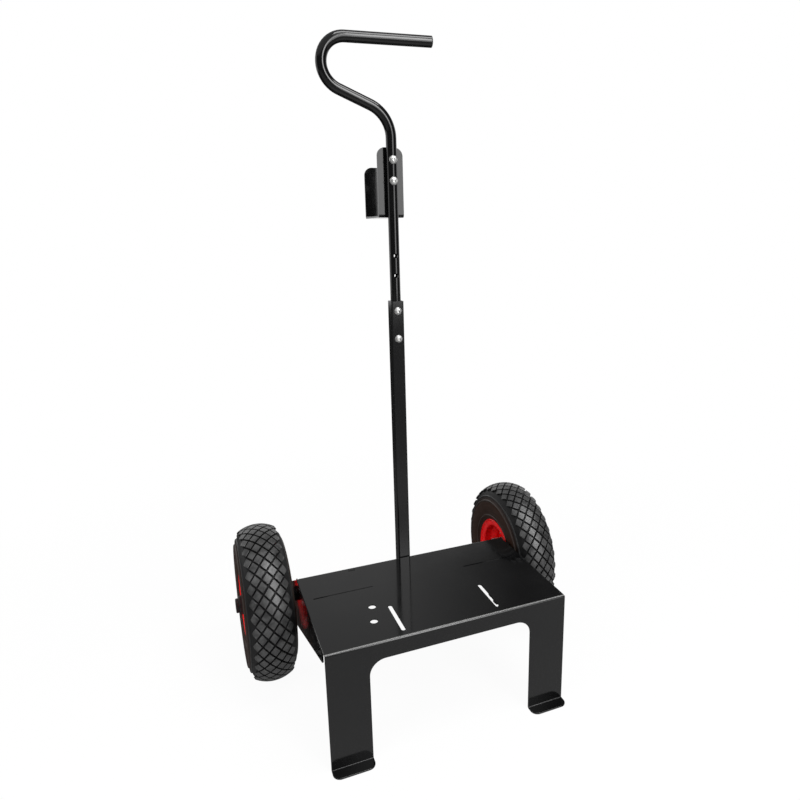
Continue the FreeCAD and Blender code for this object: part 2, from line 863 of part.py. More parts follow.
def handle_plug():
    """The plastic plug in the open end of the handle bar."""
    _, end, out = handle_line()
    stem = rod(handle_diameter / 2 - handle_wall - plug_clearance, end - out * plug_depth, end)
    head = rod(handle_diameter / 2, end, end + out * plug_head)
    return stem.fuse(head).removeSplitter()


def hook_bracket():
    """The J-shaped sheet hook screwed to the rear of the handle tube."""
    top = bracket_bottom + bracket_front_height
    outside_rear = bracket_front_y + bracket_pocket + 2 * bracket_sheet
    rear_top = bracket_bottom + bracket_rear_height
    skin = [
        V(0, bracket_front_y, top), V(0, bracket_front_y, bracket_bottom),
        V(0, outside_rear, bracket_bottom), V(0, outside_rear, rear_top),
    ]
    bends = [bracket_bend_inside + bracket_sheet] * 2
    strip = Part.Wire(rounded_path(skin, bends)).makeOffset2D(-bracket_sheet, fill=True, openResult=True)
    strip.translate(V(-bracket_width / 2, 0, 0))
    hook = strip.extrude(V(bracket_width, 0, 0))
    corners = [
        edge for edge in hook.Edges
        if edge.BoundBox.YLength > bracket_sheet / 2 and edge.BoundBox.ZLength < 0.01
        and (abs(edge.BoundBox.ZMin - top) < 0.01 or abs(edge.BoundBox.ZMin - rear_top) < 0.01)
        and edge.BoundBox.XLength < 0.01
    ]
    hook = hook.makeFillet(bracket_corner, corners)
    for height in bracket_screw_heights:
        start = V(0, bracket_front_y - bracket_sheet, height)
        drill = rod(screw_diameter / 2 + screw_clearance, start, start + V(0, 3 * bracket_sheet, 0))
        hook = hook.cut(drill)
    return hook


def screw_row(heights, front, back):
    """Domed screws from a front face to a nut behind a back face."""
    length = back - front + nut_height_ratio * screw_diameter + screw_spare
    return Part.makeCompound([button_screw(length, V(0, front, height)) for height in heights])


def nut_row(diameter, heights, back):
    """Nuts on a back face, on the mast line."""
    return Part.makeCompound([hex_nut(diameter, V(0, back, height), V(0, 1, 0)) for height in heights])


def base_bolts():
    """The bolts from inside the rear flange through the mast."""
    stack = sheet + mast_size + base_washer_thickness
    length = stack + nut_height_ratio * base_bolt_diameter + screw_spare
    return Part.makeCompound([
        hex_bolt(base_bolt_diameter, length, V(0, rear_y - sheet, height), V(0, 1, 0))
        for height in base_bolt_heights
    ])


def base_washers():
    """Washers between the mast and the base nuts."""
    back = rear_y + mast_size
    return Part.makeCompound([
        pipe(base_washer_diameter / 2, base_bolt_diameter / 2 + screw_clearance,
             V(0, back, height), V(0, back + base_washer_thickness, height))
        for height in base_bolt_heights
    ])


def frame_nodes():
    """Every piece that stays still with the platform."""
    back_of_mast = rear_y + mast_size
    back_of_washer = back_of_mast + base_washer_thickness
    bracket_back = bracket_front_y + bracket_sheet
    nodes = platform_panels()
    nodes |= {
        "axle": axle(),
        "mast": mast(),
        "mast_base_bolts": base_bolts(),
        "mast_base_washers": base_washers(),
        "mast_base_nuts": nut_row(base_bolt_diameter, base_bolt_heights, back_of_washer),
        "handle_tube": handle_tube(),
        "handle_end_plug": handle_plug(),
        "mast_screws": screw_row(mast_screw_heights, rear_y, back_of_mast),
        "mast_nuts": nut_row(screw_diameter, mast_screw_heights, back_of_mast),
        "hook_bracket": hook_bracket(),
        "bracket_screws": screw_row(bracket_screw_heights, mast_y - handle_diameter / 2, bracket_back),
        "bracket_nuts": nut_row(screw_diameter, bracket_screw_heights, bracket_back),
    }
    inner_washer_start = hub_inner_x - washer_thickness
    sided = {
        "side_plate": side_plate(),
        "axle_spacer": axle_ring(washer_width / 2, half_deck, inner_washer_start),
        "inner_washer": axle_ring(washer_width, inner_washer_start, hub_inner_x),
        "outer_washer": axle_ring(washer_width, hub_outer_x, outer_washer_end),
        "push_nut": axle_ring(push_nut_width, outer_washer_end, push_nut_end),
        "axle_cap": axle_cap(),
    }
    for name, side in SIDES.items():
        for piece, shape in sided.items():
            nodes[f"{name}_{piece}"] = shape if side > 0 else shape.mirror(V(0, 0, 0), V(1, 0, 0))
        nodes[f"{name}_bearing_inner_rings"] = at_wheel(bearing_inner_rings(), side)
    return nodes


def wheel_nodes():
    """Every piece of the two wheels and their bearings' running parts."""
    inner_half = rim_half().mirror(V(0, 0, 0), V(1, 0, 0))
    pieces = {
        "tyre": tyre(),
        "inner_tube": inner_tube(),
        "outer_rim_half": rim_half().cut(valve_hole()),
        "inner_rim_half": inner_half,
        "hub_tube": hub_tube(),
        "bearing_outer_rings": bearing_outer_rings(),
        "bearing_shields": bearing_shields(),
        "bearing_balls": bearing_balls(),
        "bearing_cages": bearing_cages(),
        "rim_bolts": rim_bolts(),
        "rim_nuts": rim_nuts(),
        "valve_stem": valve_stem(),
        "valve_cap": valve_cap(),
    }
    nodes = {}
    for name, side in SIDES.items():
        for piece, shape in pieces.items():
            nodes[f"{name}_{piece}"] = at_wheel(shape.copy(), side)
    return nodes


os.makedirs("parts", exist_ok=True)
for node, shape in {**frame_nodes(), **wheel_nodes()}.items():
    shape.exportStep(f"parts/{node}.step")
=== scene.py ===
"""Looks of the battery trolley: a black folded platform on two red-rimmed wheels, with a crook-handled mast.

Metres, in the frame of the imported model: +Z is up and the legs face -Y.
"""
import math

import bpy
from mathutils import Matrix, Vector


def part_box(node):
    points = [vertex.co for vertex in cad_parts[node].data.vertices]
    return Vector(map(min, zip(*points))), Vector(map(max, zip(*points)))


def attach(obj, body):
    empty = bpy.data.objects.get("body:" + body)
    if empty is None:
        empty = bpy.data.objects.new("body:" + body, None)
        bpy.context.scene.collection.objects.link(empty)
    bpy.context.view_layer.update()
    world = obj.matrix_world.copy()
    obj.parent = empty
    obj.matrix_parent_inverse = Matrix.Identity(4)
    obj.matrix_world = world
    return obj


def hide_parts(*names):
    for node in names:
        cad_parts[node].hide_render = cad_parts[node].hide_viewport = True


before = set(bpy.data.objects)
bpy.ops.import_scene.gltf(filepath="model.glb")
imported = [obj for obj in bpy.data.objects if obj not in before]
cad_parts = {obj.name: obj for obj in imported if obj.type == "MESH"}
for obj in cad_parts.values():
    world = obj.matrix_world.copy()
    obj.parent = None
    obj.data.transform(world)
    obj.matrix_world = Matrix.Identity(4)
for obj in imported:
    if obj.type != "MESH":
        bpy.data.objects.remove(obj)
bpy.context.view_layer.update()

mm = 0.001


# Platform
# One 2 mm steel sheet, cut, folded at the front and rear edges and powder coated gloss black after folding.
# The two side plates are welded under its edges and carry the axle.
def linear(hex_code):
    """An sRGB hex colour as linear red, green, blue and alpha."""
    parts = [int(hex_code[i:i + 2], 16) / 255 for i in (1, 3, 5)]
    return [p / 12.92 if p <= 0.04045 else ((p + 0.055) / 1.055) ** 2.4 for p in parts] + [1.0]


def add(tree, kind, inputs=None, **settings):
    """Add one shader node: each input is a value for its socket or another node's output linked to it."""
    node = tree.nodes.new(kind)
    for name, value in settings.items():
        setattr(node, name, value)
    for name, value in (inputs or {}).items():
        if isinstance(value, bpy.types.NodeSocket):
            tree.links.new(value, node.inputs[name])
        else:
            node.inputs[name].default_value = value
    return node


def new_material(name):
    """An empty node material, and its tree to fill."""
    material = bpy.data.materials.new(name)
    material.use_nodes = True
    tree = material.node_tree
    tree.nodes.clear()
    return material, tree


def per_metre(size_mm):
    """A texture's scale for features of a real size."""
    return 1 / (size_mm * mm)


# A Mix node's sockets share their names, so they go by number: the share, the two colours and the mixed one.
SHARE, COLOUR_A, COLOUR_B, MIXED_COLOUR = 0, 6, 7, 2
# A noise texture stays between these values nearly everywhere.
NOISE_LOW, NOISE_HIGH = 0.3, 0.7


def black_powder_coat(deck_low, deck_high):
    """Polyester powder, melted to a gloss skin: smudges, a faint orange peel, and painted highlight lines at
    the front edges.

    The peel is drawn coarser than the real one, so that it shows. The painted highlights are light grey lines
    along the front fold, where the deck's box begins, and along the front part of the left cut edge.
    """
    # Where the painted highlight lines lie on the front fold and the left cut edge, and how strong they are.
    fold_core, fold_reach, fold_highlight = 0.3 * mm, 0.6 * mm, 0.7
    edge_core, edge_reach, edge_highlight = 0.1 * mm, 0.3 * mm, 0.6
    front_highlight_core, front_highlight_reach = 40 * mm, 100 * mm
    sheet = deck_high.z - deck_low.z
    material, tree = new_material("gloss_black_powder_coat")
    place = add(tree, "ShaderNodeTexCoord").outputs["Object"]
    smudge = add(tree, "ShaderNodeTexNoise", {"Vector": place, "Scale": per_metre(70), "Detail": 4.0})
    peel = add(tree, "ShaderNodeTexNoise", {"Vector": place, "Scale": per_metre(5), "Detail": 1.0})
    deep = add(tree, "ShaderNodeMix", {SHARE: smudge.outputs["Fac"], COLOUR_A: linear("#070708"),
                                       COLOUR_B: linear("#0d0d0d")}, data_type="RGBA")
    along = add(tree, "ShaderNodeSeparateXYZ", {"Vector": place}).outputs
    behind = add(tree, "ShaderNodeMath", {0: along["Y"], 1: deck_low.y}, operation="SUBTRACT")
    below = add(tree, "ShaderNodeMath", {0: deck_high.z, 1: along["Z"]}, operation="SUBTRACT")
    off_fold = add(tree, "ShaderNodeMath", {0: behind.outputs[0], 1: below.outputs[0]}, operation="MAXIMUM")
    fold = add(tree, "ShaderNodeMapRange", {"Value": off_fold.outputs[0], "From Min": fold_reach,
                                            "From Max": fold_core, "To Max": fold_highlight})
    beside = add(tree, "ShaderNodeMath", {0: along["X"], 1: deck_low.x}, operation="SUBTRACT")
    under = add(tree, "ShaderNodeMath", {0: below.outputs[0], 1: sheet}, operation="SUBTRACT")
    off_edge = add(tree, "ShaderNodeMath", {0: beside.outputs[0], 1: under.outputs[0]}, operation="MAXIMUM")
    cut_edge = add(tree, "ShaderNodeMapRange", {"Value": off_edge.outputs[0], "From Min": edge_reach,
                                                "From Max": edge_core})
    near_front = add(tree, "ShaderNodeMapRange", {"Value": behind.outputs[0], "From Min": front_highlight_reach,
                                                  "From Max": front_highlight_core, "To Max": edge_highlight})
    edge = add(tree, "ShaderNodeMath", {0: cut_edge.outputs["Result"], 1: near_front.outputs["Result"]},
               operation="MULTIPLY")
    # Painted highlight: the share of light grey that stands in for the shine on the front fold and the left
    # cut edge.
    lightened_share = add(tree, "ShaderNodeMath", {0: fold.outputs["Result"], 1: edge.outputs[0]}, operation="MAXIMUM")
    # 8c8c8b is the colour of the painted highlight lines.
    colour = add(tree, "ShaderNodeMix", {SHARE: lightened_share.outputs[0], COLOUR_A: deep.outputs[MIXED_COLOUR],
                                         COLOUR_B: linear("#8c8c8b")}, data_type="RGBA")
    dulling = add(tree, "ShaderNodeMapRange", {"Value": smudge.outputs["Fac"], "From Min": NOISE_LOW,
                                               "From Max": NOISE_HIGH, "To Min": 0.07, "To Max": 0.14})
    skin = add(tree, "ShaderNodeBump", {"Height": peel.outputs["Fac"], "Strength": 0.02,
                                        "Distance": 0.2 * mm})
    paint = add(tree, "ShaderNodeBsdfPrincipled", {
        "Base Color": colour.outputs[MIXED_COLOUR], "Roughness": dulling.outputs["Result"],
        "Normal": skin.outputs["Normal"], "Specular IOR Level": 0.5})
    add(tree, "ShaderNodeOutputMaterial", {"Surface": paint.outputs["BSDF"]})
    return material


def finish_nodes(material, *names):
    """Give CAD nodes their finish."""
    for name in names:
        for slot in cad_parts[name].material_slots:
            slot.material = material


SIDES = ("left", "right")
powder_coat = black_powder_coat(*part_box("deck_plate"))
finish_nodes(powder_coat, "front_legs", "deck_plate", "rear_flange")
for side in SIDES:
    finish_nodes(powder_coat, f"{side}_side_plate")


# Axle line
# A 20 mm steel bar right through both side plates, with tube spacers, all powder coated as the platform is.
# The hubs turn on it between zinc plated washers, and spring steel push nuts are hammered on at both ends.
def bright_zinc():
    """Bright zinc plate over drawn steel: a cool grey metal with a fine grain and a cloudy passivation.

    The grain is drawn coarser than the real one, so that it shows.
    """
    material, tree = new_material("bright_zinc_plate")
    place = add(tree, "ShaderNodeTexCoord").outputs["Object"]
    cloud = add(tree, "ShaderNodeTexNoise", {"Vector": place, "Scale": per_metre(9), "Detail": 3.0})
    grain = add(tree, "ShaderNodeTexNoise", {"Vector": place, "Scale": per_metre(1.2), "Detail": 2.0})
    colour = add(tree, "ShaderNodeMix", {SHARE: cloud.outputs["Fac"], COLOUR_A: linear("#d2d4d6"),
                                         COLOUR_B: linear("#efeeea")}, data_type="RGBA")
    dulling = add(tree, "ShaderNodeMapRange", {"Value": cloud.outputs["Fac"], "From Min": NOISE_LOW,
                                               "From Max": NOISE_HIGH, "To Min": 0.42, "To Max": 0.58})
    skin = add(tree, "ShaderNodeBump", {"Height": grain.outputs["Fac"], "Strength": 0.06,
                                        "Distance": 0.1 * mm})
    metal = add(tree, "ShaderNodeBsdfPrincipled", {
        "Base Color": colour.outputs[MIXED_COLOUR], "Metallic": 1.0, "Roughness": dulling.outputs["Result"],
        "Normal": skin.outputs["Normal"]})
    add(tree, "ShaderNodeOutputMaterial", {"Surface": metal.outputs["BSDF"]})
    return material


def ground_steel():
    """Hardened steel, ground round: darker than zinc, with a tight sheen and a thin film of grease."""
    material, tree = new_material("ground_bearing_steel")
    place = add(tree, "ShaderNodeTexCoord").outputs["Object"]
    film = add(tree, "ShaderNodeTexNoise", {"Vector": place, "Scale": per_metre(5), "Detail": 3.0})
    colour = add(tree, "ShaderNodeMix", {SHARE: film.outputs["Fac"], COLOUR_A: linear("#7d7c78"),
                                         COLOUR_B: linear("#a6a7a8")}, data_type="RGBA")
    dulling = add(tree, "ShaderNodeMapRange", {"Value": film.outputs["Fac"], "From Min": NOISE_LOW,
                                               "From Max": NOISE_HIGH, "To Min": 0.12, "To Max": 0.3})
    metal = add(tree, "ShaderNodeBsdfPrincipled", {
        "Base Color": colour.outputs[MIXED_COLOUR], "Metallic": 1.0, "Roughness": dulling.outputs["Result"]})
    add(tree, "ShaderNodeOutputMaterial", {"Surface": metal.outputs["BSDF"]})
    return material


zinc = bright_zinc()
bearing_steel = ground_steel()
finish_nodes(powder_coat, "axle")
for side in SIDES:
    finish_nodes(powder_coat, f"{side}_axle_spacer")
    finish_nodes(zinc, f"{side}_inner_washer", f"{side}_outer_washer", f"{side}_hub_tube")
    finish_nodes(bearing_steel, f"{side}_push_nut")


# Bearings
# Two ball bearings, pressed into the ends of each hub tube.
# Each has ground rings, balls in a pressed cage, and a thin zinc plated shield at its outer face.
for side in SIDES:
    for piece in ("inner_rings", "outer_rings", "balls", "cages"):
        finish_nodes(bearing_steel, f"{side}_bearing_{piece}")
    finish_nodes(zinc, f"{side}_bearing_shields")


# Rims
# Each wheel has two pressed steel halves, stove enamelled bright red.
# Four zinc plated bolts with nuts clamp them together at their flat webs.
def red_enamel():
    """Stoved red enamel: an even gloss with a faint ripple, and a little darker where it pools."""
    material, tree = new_material("stoved_red_enamel")
    place = add(tree, "ShaderNodeTexCoord").outputs["Object"]
    pool = add(tree, "ShaderNodeTexNoise", {"Vector": place, "Scale": per_metre(25), "Detail": 3.0})
    ripple = add(tree, "ShaderNodeTexNoise", {"Vector": place, "Scale": per_metre(2.5), "Detail": 1.0})
    colour = add(tree, "ShaderNodeMix", {SHARE: pool.outputs["Fac"], COLOUR_A: linear("#ea0c12"),
                                         COLOUR_B: linear("#fd171b")}, data_type="RGBA")
    dulling = add(tree, "ShaderNodeMapRange", {"Value": pool.outputs["Fac"], "From Min": NOISE_LOW,
                                               "From Max": NOISE_HIGH, "To Min": 0.18, "To Max": 0.28})
    skin = add(tree, "ShaderNodeBump", {"Height": ripple.outputs["Fac"], "Strength": 0.05,
                                        "Distance": 0.3 * mm})
    paint = add(tree, "ShaderNodeBsdfPrincipled", {
        "Base Color": colour.outputs[MIXED_COLOUR], "Roughness": dulling.outputs["Result"],
        "Normal": skin.outputs["Normal"], "Specular IOR Level": 0.25})
    add(tree, "ShaderNodeOutputMaterial", {"Surface": paint.outputs["BSDF"]})
    return material


enamel = red_enamel()
for side in SIDES:
    finish_nodes(enamel, f"{side}_outer_rim_half", f"{side}_inner_rim_half")
    finish_nodes(zinc, f"{side}_rim_bolts", f"{side}_rim_nuts")


# Tyres
# Black moulded rubber, held on the rim seats by the tube's pressure.
# Rows of pointed diamond blocks cover the crown and end in a zigzag at the shoulders; ribs ring each wall.
tyre_radius = 127.0 * mm
crown_half_width = 29.5 * mm
crown_drop = 8.6 * mm
belly_half_width = 37.5 * mm
belly_radius = 94.95 * mm
wall_foot_offset = 32.9 * mm
wall_foot_radius = 63.5 * mm
bead_offset = 29.7 * mm
bead_toe_offset = 21.7 * mm
bead_low_radius = 50.8 * mm
bead_neck_radius = 58.3 * mm
bead_chamfer = 1.5 * mm
carcass_wall = 5.0 * mm
groove_depth = 3.5 * mm
groove_width = 2.4 * mm
shoulder_blend = 4.0 * mm
wall_rib_radii = (106.0 * mm, 98.0 * mm, 70.0 * mm)
wall_rib_height = 1.4 * mm
wall_rib_width = 1.3 * mm
wall_rib_squareness = 4
# The ribs' share of the lighter top colour: a painted highlight along each rib.
rib_highlight = 0.5
bloom_end_radius = 107.0 * mm
bloom_fade = 16.0 * mm
bloom_most = 0.8
turn_steps = 132
weld_distance = 0.01 * mm
smoothing_angle = math.radians(32)

block_rows = 35
block_columns = range(-3, 4)
block_pitch_across = 17.8 * mm
block_tip_width = 0.7 * mm
block_chamfer = 0.5 * mm
block_draft = 0.1 * mm
block_sink = 0.5 * mm
block_cuts = 3
block_half_across = block_pitch_across / 2
block_half_round = math.pi * tyre_radius / block_rows
block_edge = block_half_across * block_half_round / math.hypot(block_half_across, block_half_round)
block_share = 1 - (groove_width / 2 + block_draft) / block_edge
block_wide = block_half_across * block_share
block_tall = block_half_round * block_share
block_growth = 1 + block_draft / (block_edge * block_share)


def circle_through(a, b, c):
    """The centre and radius of the circle through three points of a section."""
    ab, ac = b - a, c - a
    cross = 2 * (ab.x * ac.y - ab.y * ac.x)
    centre = a + Vector((ac.y * ab.length_squared - ab.y * ac.length_squared,
                         ab.x * ac.length_squared - ac.x * ab.length_squared)) / cross
    return centre, (a - centre).length


def angle_from(centre, point):
    """The direction of a point from a centre, as an angle in the section."""
    return math.atan2(point.y - centre.y, point.x - centre.x)


def arc(start, through, stop, steps):
    """Points along the arc from one point through a second to a third, each with its outward direction."""
    centre, bend = circle_through(start, through, stop)
    first, last = angle_from(centre, start), angle_from(centre, stop)
    turns = [first + (last - first) * i / steps for i in range(steps + 1)]
    outs = [Vector((math.cos(turn), math.sin(turn))) for turn in turns]
    return [(centre + bend * out, out) for out in outs]


crown_bend = (crown_half_width ** 2 + crown_drop ** 2) / (2 * crown_drop)
crown_run = crown_bend * math.asin(crown_half_width / crown_bend)
crown_top = Vector((0, tyre_radius))
shoulder = Vector((crown_half_width, tyre_radius - crown_drop))
belly = Vector((belly_half_width, belly_radius))
wall_foot = Vector((wall_foot_offset, wall_foot_radius))
belly_centre, belly_bend = circle_through(shoulder, belly, wall_foot)
belly_top = angle_from(belly_centre, shoulder)


def tyre_skin(run):
    """A point of the outer section and its outward direction, by the run along the skin from the crown."""
    side_sign = -1 if run < 0 else 1
    run = abs(run)
    lean = min(run, crown_run) / crown_bend
    crown_out = Vector((math.sin(lean), math.cos(lean)))
    slope = belly_top - max(run - crown_run, 0) / belly_bend
    belly_out = Vector((math.cos(slope), math.sin(slope)))
    if run <= crown_run:
        point = Vector((0, tyre_radius - crown_bend)) + crown_bend * crown_out
    else:
        point = belly_centre + belly_bend * belly_out
    share = min(max((run - crown_run + shoulder_blend) / (2 * shoulder_blend), 0), 1)
    out = crown_out.lerp(belly_out, share).normalized()
    return Vector((side_sign * point.x, point.y)), Vector((side_sign * out.x, out.y))


def rib_share(radius):
    """How much of a rib's height the wall has at a radius."""
    return sum(math.exp(-((radius - rib) / wall_rib_width) ** wall_rib_squareness) for rib in wall_rib_radii)


def carcass_outline():
    """The carcass's closed section: along the groove floor, down a ribbed wall, round the bead and back."""
    corner_inset = groove_depth / math.sqrt(2)
    floor_top = crown_top - Vector((0, groove_depth))
    floor_edge = shoulder - Vector((corner_inset, corner_inset))
    far_edge = Vector((-floor_edge.x, floor_edge.y))
    crown_steps, wall_steps, inside_steps = 16, 72, 10
    half = [point for point, out in arc(far_edge, floor_top, floor_edge, 2 * crown_steps)][crown_steps:-1]
    for point, out in arc(floor_edge, belly, wall_foot, wall_steps):
        half.append(point + wall_rib_height * rib_share(point.y) * out)
    half += [Vector((bead_offset, bead_neck_radius)),
             Vector((bead_offset, bead_low_radius + bead_chamfer)),
             Vector((bead_offset - bead_chamfer, bead_low_radius)),
             Vector((bead_toe_offset, bead_low_radius))]
    inside_foot = Vector((bead_toe_offset, wall_foot_radius))
    inside_belly = belly - Vector((carcass_wall, 0))
    inside_edge = shoulder - Vector((carcass_wall + groove_depth, carcass_wall + groove_depth))
    half += [point for point, out in arc(inside_foot, inside_belly, inside_edge, inside_steps)]
    half.append(floor_top - Vector((0, carcass_wall)))
    return half + [Vector((-point.x, point.y)) for point in reversed(half[1:-1])]


def select_none():
    """Clear the selection, so that the next tool works on its own piece only."""
    bpy.ops.object.select_all(action="DESELECT")


def turned_ring(name, outline, steps):
    """Spin a closed section, given as offset and radius, round the X axis."""
    select_none()
    bpy.ops.mesh.primitive_circle_add(vertices=len(outline), fill_type="NOTHING")
    ring = bpy.context.object
    ring.name = name
    for vertex, point in zip(ring.data.vertices, outline):
        vertex.co = (point.x, 0, point.y)
    bpy.ops.object.mode_set(mode="EDIT")
    bpy.ops.mesh.select_all(action="SELECT")
    bpy.ops.mesh.spin(steps=steps, angle=math.tau, center=(0, 0, 0), axis=(1, 0, 0))
    bpy.ops.mesh.select_all(action="SELECT")
    bpy.ops.mesh.remove_doubles(threshold=weld_distance)
    bpy.ops.mesh.normals_make_consistent(inside=False)
    bpy.ops.object.mode_set(mode="OBJECT")
    return ring


def tread_block(corners, cuts):
    """One block lying flat, given by its half width at places along its run.

    It has a chamfered top, drafted sides and a closed base, and its top is marked as raised.
    """
    stations = [corners[0]]
    for (run, half), (next_run, next_half) in zip(corners, corners[1:]):
        for i in range(1, cuts + 1):
            stations.append((run + (next_run - run) * i / cuts, half + (next_half - half) * i / cuts))
    select_none()
    bpy.ops.mesh.primitive_grid_add(x_subdivisions=len(stations) - 1, y_subdivisions=2, size=2)
    block = bpy.context.object
    for vertex in block.data.vertices:
        run, half = stations[round((vertex.co.x + 1) / 2 * (len(stations) - 1))]
        vertex.co = (run, vertex.co.y * half, 0)
    bpy.ops.object.mode_set(mode="EDIT")
    bpy.ops.mesh.select_all(action="SELECT")
    bpy.ops.mesh.inset(thickness=block_chamfer, depth=block_chamfer)
    bpy.ops.mesh.select_all(action="DESELECT")
    bpy.ops.mesh.select_mode(type="EDGE")
    bpy.ops.mesh.select_non_manifold()
    bpy.ops.mesh.extrude_region_move(
        TRANSFORM_OT_translate={"value": (0, 0, block_chamfer - groove_depth - block_sink)})
    bpy.ops.transform.resize(value=(block_growth, block_growth, 1), center_override=(0, 0, 0))
    bpy.ops.mesh.edge_face_add()
    bpy.ops.mesh.select_mode(type="VERT")
    bpy.ops.mesh.select_all(action="SELECT")
    bpy.ops.mesh.normals_make_consistent(inside=False)
    bpy.ops.object.mode_set(mode="OBJECT")
    top = max(vertex.co.z for vertex in block.data.vertices)
    raised_share = block.data.attributes.new("raised", "FLOAT", "POINT")
    for vertex, raised_value in zip(block.data.vertices, raised_share.data):
        vertex.co.z -= top
        raised_value.value = 1.0 if vertex.co.z > -block_chamfer / 2 else 0.0
    return block


def own_copy(piece, name):
    """A copy of a piece with a mesh of its own."""
    twin = piece.copy()
    twin.data = piece.data.copy()
    twin.name = name
    bpy.context.collection.objects.link(twin)
    return twin


def joined(name, pieces):
    """Join pieces into the first one."""
    select_none()
    for piece in pieces:
        piece.select_set(True)
    bpy.context.view_layer.objects.active = pieces[0]
    bpy.ops.object.join()
    pieces[0].name = name
    return pieces[0]


def wrapped(block, column):
    """A copy of a flat block laid on the skin at its column; every other column is half a pitch on."""
    stagger = block_half_round if column % 2 == 0 else 0
    copy = own_copy(block, "tread_block")
    for vertex in copy.data.vertices:
        point, out = tyre_skin(column * block_half_across + vertex.co.x)
        place = point + vertex.co.z * out
        turn = (vertex.co.y + stagger) / tyre_radius
        vertex.co = (place.x, place.y * math.sin(turn), place.y * math.cos(turn))
    return copy


def tread():
    """The whole tread: a row of blocks wrapped over the crown and shoulders, then copied round the wheel."""
    half_tip = block_tip_width / 2
    diamond = tread_block([(-block_wide, half_tip), (0, block_tall), (block_wide, half_tip)], block_cuts)
    row = [wrapped(diamond, column) for column in block_columns]
    bpy.data.objects.remove(diamond)
    blocks = joined("tread_row", row)
    bpy.ops.object.mode_set(mode="EDIT")
    bpy.ops.mesh.select_all(action="SELECT")
    bpy.ops.mesh.spin(steps=block_rows - 1, dupli=True, angle=math.tau * (block_rows - 1) / block_rows,
                      center=(0, 0, 0), axis=(1, 0, 0))
    bpy.ops.object.mode_set(mode="OBJECT")
    return blocks


def mark_walls(carcass):
    """Mark the bare walls, where the rubber's wax blooms brown, and the ribs on them, which get a painted
    highlight.
    """
    bloom = carcass.data.attributes.new("wall_bloom", "FLOAT", "POINT")
    raised = carcass.data.attributes.new("raised", "FLOAT", "POINT")
    for vertex, share, raised_value in zip(carcass.data.vertices, bloom.data, raised.data):
        radius = math.hypot(vertex.co.y, vertex.co.z)
        share.value = min(max((bloom_end_radius - radius) / bloom_fade, 0), bloom_most)
        # Ribs are marked for a painted highlight, in proportion to their height.
        if abs(vertex.co.x) > crown_half_width:
            raised_value.value = rib_highlight * rib_share(radius)
    return carcass


def tyre_rubber():
    """Carbon black rubber from a blasted mould: dull, greyer on the worn block tops, with a brown bloom on
    the walls.

    The blasted grain is drawn coarser than the real one, so that it shows. Dust breaks up the worn tops.
    The wall ribs get part of the same grey as a painted highlight.
    """
    dust_start, dust_full = 0.38, 0.66
    material, tree = new_material("moulded_tyre_rubber")
    place = add(tree, "ShaderNodeTexCoord").outputs["Object"]
    raised_share = add(tree, "ShaderNodeAttribute", attribute_name="raised")
    dust = add(tree, "ShaderNodeTexNoise", {"Vector": place, "Scale": per_metre(14), "Detail": 6.0,
                                            "Roughness": 0.7})
    grain = add(tree, "ShaderNodeTexNoise", {"Vector": place, "Scale": per_metre(0.9), "Detail": 2.0})
    spread = add(tree, "ShaderNodeMapRange", {"Value": dust.outputs["Fac"], "From Min": dust_start,
                                              "From Max": dust_full})
    # Grey of the worn block tops, and a painted highlight on the wall ribs; both are broken up by dust.
    lightened_share = add(tree, "ShaderNodeMath", {0: raised_share.outputs["Fac"], 1: spread.outputs["Result"]},
                 operation="MULTIPLY")
    plain = add(tree, "ShaderNodeMix", {SHARE: dust.outputs["Fac"], COLOUR_A: linear("#151516"),
                                        COLOUR_B: linear("#202020")}, data_type="RGBA")
    wall = add(tree, "ShaderNodeAttribute", attribute_name="wall_bloom")
    bloomed = add(tree, "ShaderNodeMix", {SHARE: wall.outputs["Fac"], COLOUR_A: plain.outputs[MIXED_COLOUR],
                                          COLOUR_B: linear("#38271f")}, data_type="RGBA")
    # 404040 is the grey of worn block tops; on the ribs it is a painted highlight.
    colour = add(tree, "ShaderNodeMix", {SHARE: lightened_share.outputs[0], COLOUR_A: bloomed.outputs[MIXED_COLOUR],
                                         COLOUR_B: linear("#404040")}, data_type="RGBA")
    dulling = add(tree, "ShaderNodeMapRange", {"Value": dust.outputs["Fac"], "From Min": NOISE_LOW,
                                               "From Max": NOISE_HIGH, "To Min": 0.3, "To Max": 0.5})
    skin = add(tree, "ShaderNodeBump", {"Height": grain.outputs["Fac"], "Strength": 0.2,
                                        "Distance": 0.15 * mm})
    sheen = add(tree, "ShaderNodeMapRange", {"Value": raised_share.outputs["Fac"], "To Min": 0.12, "To Max": 0.9})
    surface = add(tree, "ShaderNodeBsdfPrincipled", {
        "Base Color": colour.outputs[MIXED_COLOUR], "Roughness": dulling.outputs["Result"],
        "Normal": skin.outputs["Normal"], "Specular IOR Level": sheen.outputs["Result"]})
    add(tree, "ShaderNodeOutputMaterial", {"Surface": surface.outputs["BSDF"]})
    return material


rubber = tyre_rubber()
carcass = mark_walls(turned_ring("carcass", carcass_outline(), turn_steps))
tyre = joined("tyre", [carcass, tread()])
bpy.ops.object.shade_smooth_by_angle(angle=smoothing_angle)
tyre.data.materials.append(rubber)
for side in SIDES:
    hub_low, hub_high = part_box(f"{side}_hub_tube")
    piece = own_copy(tyre, f"{side}_treaded_tyre")
    piece.data.transform(Matrix.Translation((hub_low + hub_high) / 2))
    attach(piece, f"{side}_wheel")
    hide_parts(f"{side}_tyre")
bpy.data.objects.remove(tyre)


